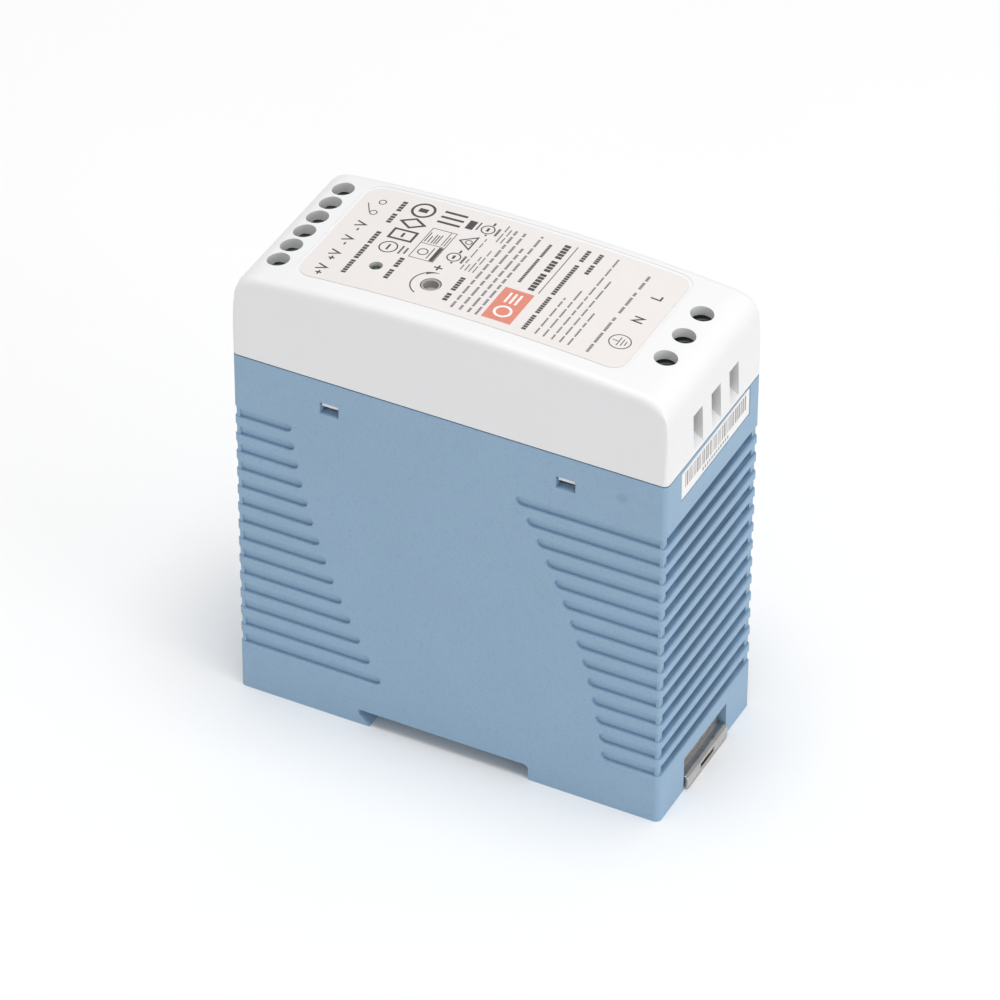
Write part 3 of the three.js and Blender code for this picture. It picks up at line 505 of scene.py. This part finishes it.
# The readable lines: row, start, the words' lengths, the letters' height, and the space between words.
RATINGS_ABOVE = (
    (-25.85, -11.5, (4.6, 4.9, 4.3), 0.95, 0.45),
    (-25.85, 6.3, (3.3, 3.5), 0.95, 0.8),
    (-17.8, -10.1, (3.2, 3.3), 0.95, 0.8),
    (-4.75, -11.7, (2.6, 4.6), 0.95, 0.85),
)
RATINGS_BELOW = (
    (12.0, -12.9, (5.0, 5.6), 0.85, 0.6),
    (12.0, -0.9, (10.4, 3.9), 0.85, 1.2),
    (14.55, 7.7, (3.2, 3.3), 0.85, 0.45),
    (4.85, -0.4, (8.3, 4.5), 0.6, 0.5),
)
PLUS_LEGEND = (-3.1, -10.4)

# The lines too small to read: row, start, end and the letters' height.
SMALL_LINES = (
    (-2.65, -13.0, 14.9, 0.5),
    (-0.9, -13.0, 13.8, 0.5),
    (0.8, -13.0, 9.3, 0.5),
    (2.35, -13.0, 14.4, 0.5),
    (14.5, -13.0, -0.6, 0.36),
    (16.15, -13.0, 3.6, 0.36),
    (17.85, -13.0, 14.8, 0.36),
    (19.5, -13.0, 8.0, 0.36),
    (21.15, -13.0, -1.4, 0.36),
    (25.0, -13.0, -1.2, 0.55),
    (25.0, 0.3, 7.4, 0.55),
    (25.0, 8.6, 13.1, 0.55),
    (-6.55, -1.7, 9.0, 0.26),
    (-5.65, -1.7, 1.5, 0.26),
    (-4.85, -1.7, 3.7, 0.26),
    (-4.05, -1.7, 6.0, 0.26),
    (-4.6, 8.9, 14.6, 0.26),
    (-3.7, 8.9, 14.6, 0.26),
)
WORD_LENGTHS = (1.4, 3.4)
WORD_SPACE = 0.5
SHORTEST_WORD = 0.6

# The arrow round the trimmer: a thin arc and then a wedge that narrows to nothing.
ARROW_CENTRE = (-8.35, -9.2)
ARROW_RADIUS = 3.85
ARROW_ARC = (205, 318)
WEDGE_RADIUS = 3.7
WEDGE_START = 319
WEDGE_TURN = 40
WEDGE_WIDTHS = (0.72, 0.04)
WEDGE_STEPS = 8

# The frame with fine lines in it: row and end of each.
FRAME_LINES = ((-16.7, 6.6), (-16.05, 5.6), (-15.35, 6.4), (-14.85, 6.2), (-14.35, 6.5))
FRAME_FOOT_LINES = ((-13.25, 7.8), (-12.7, 6.6))
RING_MARKS = ((1.2, -9.4), (11.75, -7.7))
RING_ARM = 2.0

PATCH_ROW = 6.35
PATCH_ENDS = (-12.9, -2.8)
PATCH_WIDTH = 5.9

label_top = surface_height("front_label")


def on_label(across, down, height):
    x, y = down * MM, across * MM
    return Vector((x, y, label_top(x, y) + height * MM))


def terminal_legends(ink_print):
    for centre, positive in OUTPUT_SIGNS:
        sign = centre - 0.9
        if positive:
            ink_print.plus((sign, -30.05), 0.62, LEGEND_WEIGHT)
        else:
            ink_print.dash(-30.0, sign - 0.38, sign + 0.38, LEGEND_WEIGHT)
        left = centre + 0.15
        ink_print.ribbon([(left, -31.3), (left + 0.8, -29.3), (left + 1.6, -31.3)], LEGEND_WEIGHT)
    ink_print.arc((8.3, -29.95), 0.68, THIN)
    ink_print.arc((12.0, -29.9), 0.68, THIN)
    ink_print.ribbon([(8.25, -30.8), (10.9, -32.35)], THIN)
    ink_print.ribbon([(-0.35, 29.95), (-0.35, 27.95), (1.05, 29.75), (1.05, 27.9)], LETTER_WEIGHT)
    ink_print.ribbon([(7.55, 27.9), (7.55, 29.8), (8.75, 29.8)], LETTER_WEIGHT)
    ink_print.arc(EARTH, 2.05, THIN, steps=40)
    ink_print.ribbon([(EARTH[0], 27.35), (EARTH[0], 28.5)], THINNER)
    for half, row in EARTH_BARS:
        ink_print.dash(row, EARTH[0] - half, EARTH[0] + half, THINNER)


def rating_lines(ink_print):
    for line in RATINGS_ABOVE:
        ink_print.words(*line)
    ink_print.plus(PLUS_LEGEND, 0.85, LETTER_WEIGHT)
    ink_print.words(7.85, -1.7, (5.9, 3.9, 4.9), 1.25, 0.65)
    ink_print.dash(9.6, -1.9, 14.5, 0.16)
    for line in RATINGS_BELOW:
        ink_print.words(*line)


def small_lines(ink_print):
    """Rows of words of seeded lengths."""
    rng = random.Random(7)
    for row, start, end, weight in SMALL_LINES:
        x = start
        while x < end - SHORTEST_WORD:
            length = min(rng.uniform(*WORD_LENGTHS), end - x)
            ink_print.words(row, x, [length], weight)
            x += length + WORD_SPACE


def trimmer_arrow(ink_print):
    ink_print.arc(ARROW_CENTRE, ARROW_RADIUS, 0.24, *ARROW_ARC, steps=24)
    wide, narrow = WEDGE_WIDTHS
    points = []
    widths = []
    for i in range(WEDGE_STEPS + 1):
        share = i / WEDGE_STEPS
        angle = math.radians(WEDGE_START + WEDGE_TURN * share)
        x = ARROW_CENTRE[0] + WEDGE_RADIUS * math.cos(angle)
        y = ARROW_CENTRE[1] + WEDGE_RADIUS * math.sin(angle)
        points.append((x, y))
        widths.append(wide + (narrow - wide) * share)
    ink_print.ribbon(points, widths, step=3)


def upper_marks(ink_print):
    """The row of plain shapes over the trimmer: a ring, a box, a diamond, a wide ring and three bars."""
    ink_print.arc((-0.8, -22.0), 1.72, 0.26)
    ink_print.dash(-22.0, -1.7, 0.1, 0.4)
    ink_print.words(-19.35, -2.1, [2.7], 0.4)
    ink_print.words(-18.35, -1.7, [2.0], 0.4)
    ink_print.box(2.2, 5.2, -23.6, -19.0, MARK_WEIGHT)
    ink_print.dash(-21.3, 3.0, 4.4, MARK_WEIGHT)
    ink_print.ribbon([(7.9, -23.8), (6.3, -21.4), (7.9, -19.0), (9.4, -21.4)], MARK_WEIGHT, closed=True)
    ink_print.arc((12.4, -21.5), 2.15, MARK_WEIGHT, steps=40)
    ink_print.ribbon([(12.4, -22.4), (12.4, -20.6)], 1.2)
    for across in (10.35, 12.05, 13.75):
        ink_print.ribbon([(across, -17.6), (across, -12.9)], 0.6)


def framed_mark(ink_print):
    """A frame in two fields, with a ring and a bar in one and fine lines in the other."""
    ink_print.box(-2.0, 8.0, -17.15, -12.2, 0.14)
    ink_print.ribbon([(2.95, -17.0), (2.95, -12.35)], 0.14)
    ink_print.dash(-12.75, -1.85, 2.75, 0.8)
    ink_print.arc((0.35, -15.4), 0.95, 0.22)
    ink_print.dash(-13.85, -1.4, 2.2, THIN)
    for row, end in FRAME_LINES:
        ink_print.dash(row, 3.45, end, THIN)
    for row, end in FRAME_FOOT_LINES:
        ink_print.dash(row, 3.45, end, 0.16)


def lower_marks(ink_print):
    """A bar, two rings on a line, and a triangle."""
    ink_print.dash(-11.2, 10.4, 13.2, 1.5)
    ink_print.words(-9.75, 10.8, [2.6], 0.3)
    for x, y in RING_MARKS:
        ink_print.arc((x, y), 1.28, 0.24)
        ink_print.dash(y, x - 0.55, x + 0.55, 0.5)
        ink_print.dash(y + 0.4, x - RING_ARM, x - 1.55, 0.4)
        ink_print.dash(y + 0.4, x + 1.55, x + RING_ARM + 0.5, 0.4)
        ink_print.words(y + 2.0, x - 1.25, [2.5], 0.5)
    ink_print.ribbon([(6.55, -10.9), (8.7, -8.1), (4.5, -8.1)], 0.3, closed=True)
    ink_print.arc((6.6, -9.05), 0.62, THIN, steps=20)


def label():
    """All ink on the front label. Plain shapes fill the places of marks, and stand for none of them."""
    dark = Print("label_print", on_label)
    terminal_legends(dark)
    rating_lines(dark)
    trimmer_arrow(dark)
    upper_marks(dark)
    framed_mark(dark)
    lower_marks(dark)
    dark.finish(ink("label_ink", 0x4c4b4d), "label_foil")

    fine = Print("label_fine_print", on_label)
    small_lines(fine)
    fine.finish(ink("fine_ink", 0x77757a), "label_foil")

    patch = Print("label_patch", on_label, thickness=0.03)
    patch.dash(PATCH_ROW, *PATCH_ENDS, PATCH_WIDTH)
    patch.finish(ink("patch_ink", 0xdd8a78), "label_foil")

    glyph = Print("label_patch_glyph", on_label, thickness=0.045, sink=0.0)
    glyph.arc((-9.9, PATCH_ROW), 1.55, 0.5, steps=40)
    for row in (PATCH_ROW - 1.05, PATCH_ROW, PATCH_ROW + 1.05):
        glyph.dash(row, -7.2, -4.0, 0.45)
    glyph.finish(ink("glyph_ink", 0xf6f2f0), "label_foil")


label()


# ---------------------------------------------------------------- the barcode sticker

# In millimetres across and up from the sticker's middle. It sits slightly askew on the end wall.
STICKER_TILT = math.radians(1.1)
BARS_ACROSS = (-12.9, 12.6)
BARS_UP = (-1.0, 2.35)
BAR_WIDTHS = (0.25, 0.25, 0.4, 0.6)
BAR_GAPS = (0.25, 0.35, 0.5)
DIGITS_ACROSS = (-5.6, 5.2)
DIGITS_UP = -2.0
DIGIT_SIZE = (0.55, 0.7)
DIGIT_PITCH = 0.95

sticker_low, sticker_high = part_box("barcode_label")
sticker_centre = (sticker_low + sticker_high) / 2


def on_sticker(across, up, height):
    y = across * math.cos(STICKER_TILT) - up * math.sin(STICKER_TILT)
    z = across * math.sin(STICKER_TILT) + up * math.cos(STICKER_TILT)
    return Vector((sticker_high.x + height * MM, sticker_centre.y + y * MM, sticker_centre.z + z * MM))


def barcode():
    """Bars and gaps of seeded widths, with a row of small blocks below in place of digits."""
    rng = random.Random(21)
    bars = Print("barcode_print", on_sticker, thickness=0.015, sink=0.02)
    y, end = BARS_ACROSS
    while y < end:
        width = rng.choice(BAR_WIDTHS)
        middle = y + width / 2
        bars.ribbon([(middle, BARS_UP[0]), (middle, BARS_UP[1])], width, step=5)
        y += width + rng.choice(BAR_GAPS)
    x, end = DIGITS_ACROSS
    while x < end:
        bars.dash(DIGITS_UP, x, x + DIGIT_SIZE[0], DIGIT_SIZE[1])
        x += DIGIT_PITCH
    bars.finish(ink("barcode_ink", 0xa6a2a3), "barcode_foil")


barcode()


# ---------------------------------------------------------------- studio

FLOOR_HALF = 3.0
FLOOR_SQUARES = 8
SKY_STRENGTH = 0.5
LIGHT_TARGET = Vector((0, 0, 0.05))


def floor():
    """A wide pale table top with a faint paper grain."""
    mesh = bmesh.new()
    bmesh.ops.create_grid(mesh, x_segments=FLOOR_SQUARES, y_segments=FLOOR_SQUARES, size=FLOOR_HALF)
    data = bpy.data.meshes.new("studio_floor")
    mesh.to_mesh(data)
    mesh.free()
    ground = bpy.data.objects.new("studio_floor", data)
    bpy.context.scene.collection.objects.link(ground)
    paper = Finish("studio_paper", srgb(0xfafafa), 0.8)
    paper.mottle(60 * MM, 0.004)
    paper.grain(1.5 * MM, 0.01 * MM)
    data.materials.append(paper.material)


def softbox(name, where, size, power):
    light = bpy.data.lights.new(name, "AREA")
    light.shape = "DISK"
    light.size = size
    light.energy = power
    box = bpy.data.objects.new(name, light)
    bpy.context.scene.collection.objects.link(box)
    box.location = where
    box.rotation_euler = (LIGHT_TARGET - Vector(where)).to_track_quat("-Z", "Y").to_euler()


def studio_light():
    """A white surround, a soft light overhead and a low one that reaches into the mains end."""
    world = bpy.data.worlds.new("studio")
    bpy.context.scene.world = world
    world.use_nodes = True
    background = world.node_tree.nodes["Background"]
    background.inputs["Color"].default_value = (1.0, 1.0, 1.0, 1.0)
    background.inputs["Strength"].default_value = SKY_STRENGTH
    softbox("overhead", where=(0.15, -0.1, 1.9), size=1.1, power=20.5)
    softbox("side", where=(1.85, -0.35, 0.45), size=1.2, power=9)


def camera():
    """A long lens, from the front right and above."""
    azimuth = math.radians(26.84)
    elevation = math.radians(37.84)
    roll = math.radians(0.28)
    distance = 1.1647
    pan = (0.87 * MM, -2.08 * MM)
    target = Vector((0, 0, 0.05))
    back = Vector((
        math.sin(azimuth) * math.cos(elevation),
        -math.cos(azimuth) * math.cos(elevation),
        math.sin(elevation),
    ))
    level = Vector((0, 0, 1)).cross(back).normalized()
    upright = back.cross(level)
    right = level * math.cos(roll) + upright * math.sin(roll)
    up = upright * math.cos(roll) - level * math.sin(roll)
    lens_data = bpy.data.cameras.new("view")
    lens_data.sensor_width = 36.0
    lens_data.lens = 222.41
    view = bpy.data.objects.new("view", lens_data)
    bpy.context.scene.collection.objects.link(view)
    view.location = target + right * pan[0] + up * pan[1] + back * distance
    view.rotation_euler = Matrix((right, up, back)).transposed().to_euler()
    bpy.context.scene.camera = view


floor()
studio_light()
camera()
bpy.context.scene.view_settings.view_transform = "Standard"
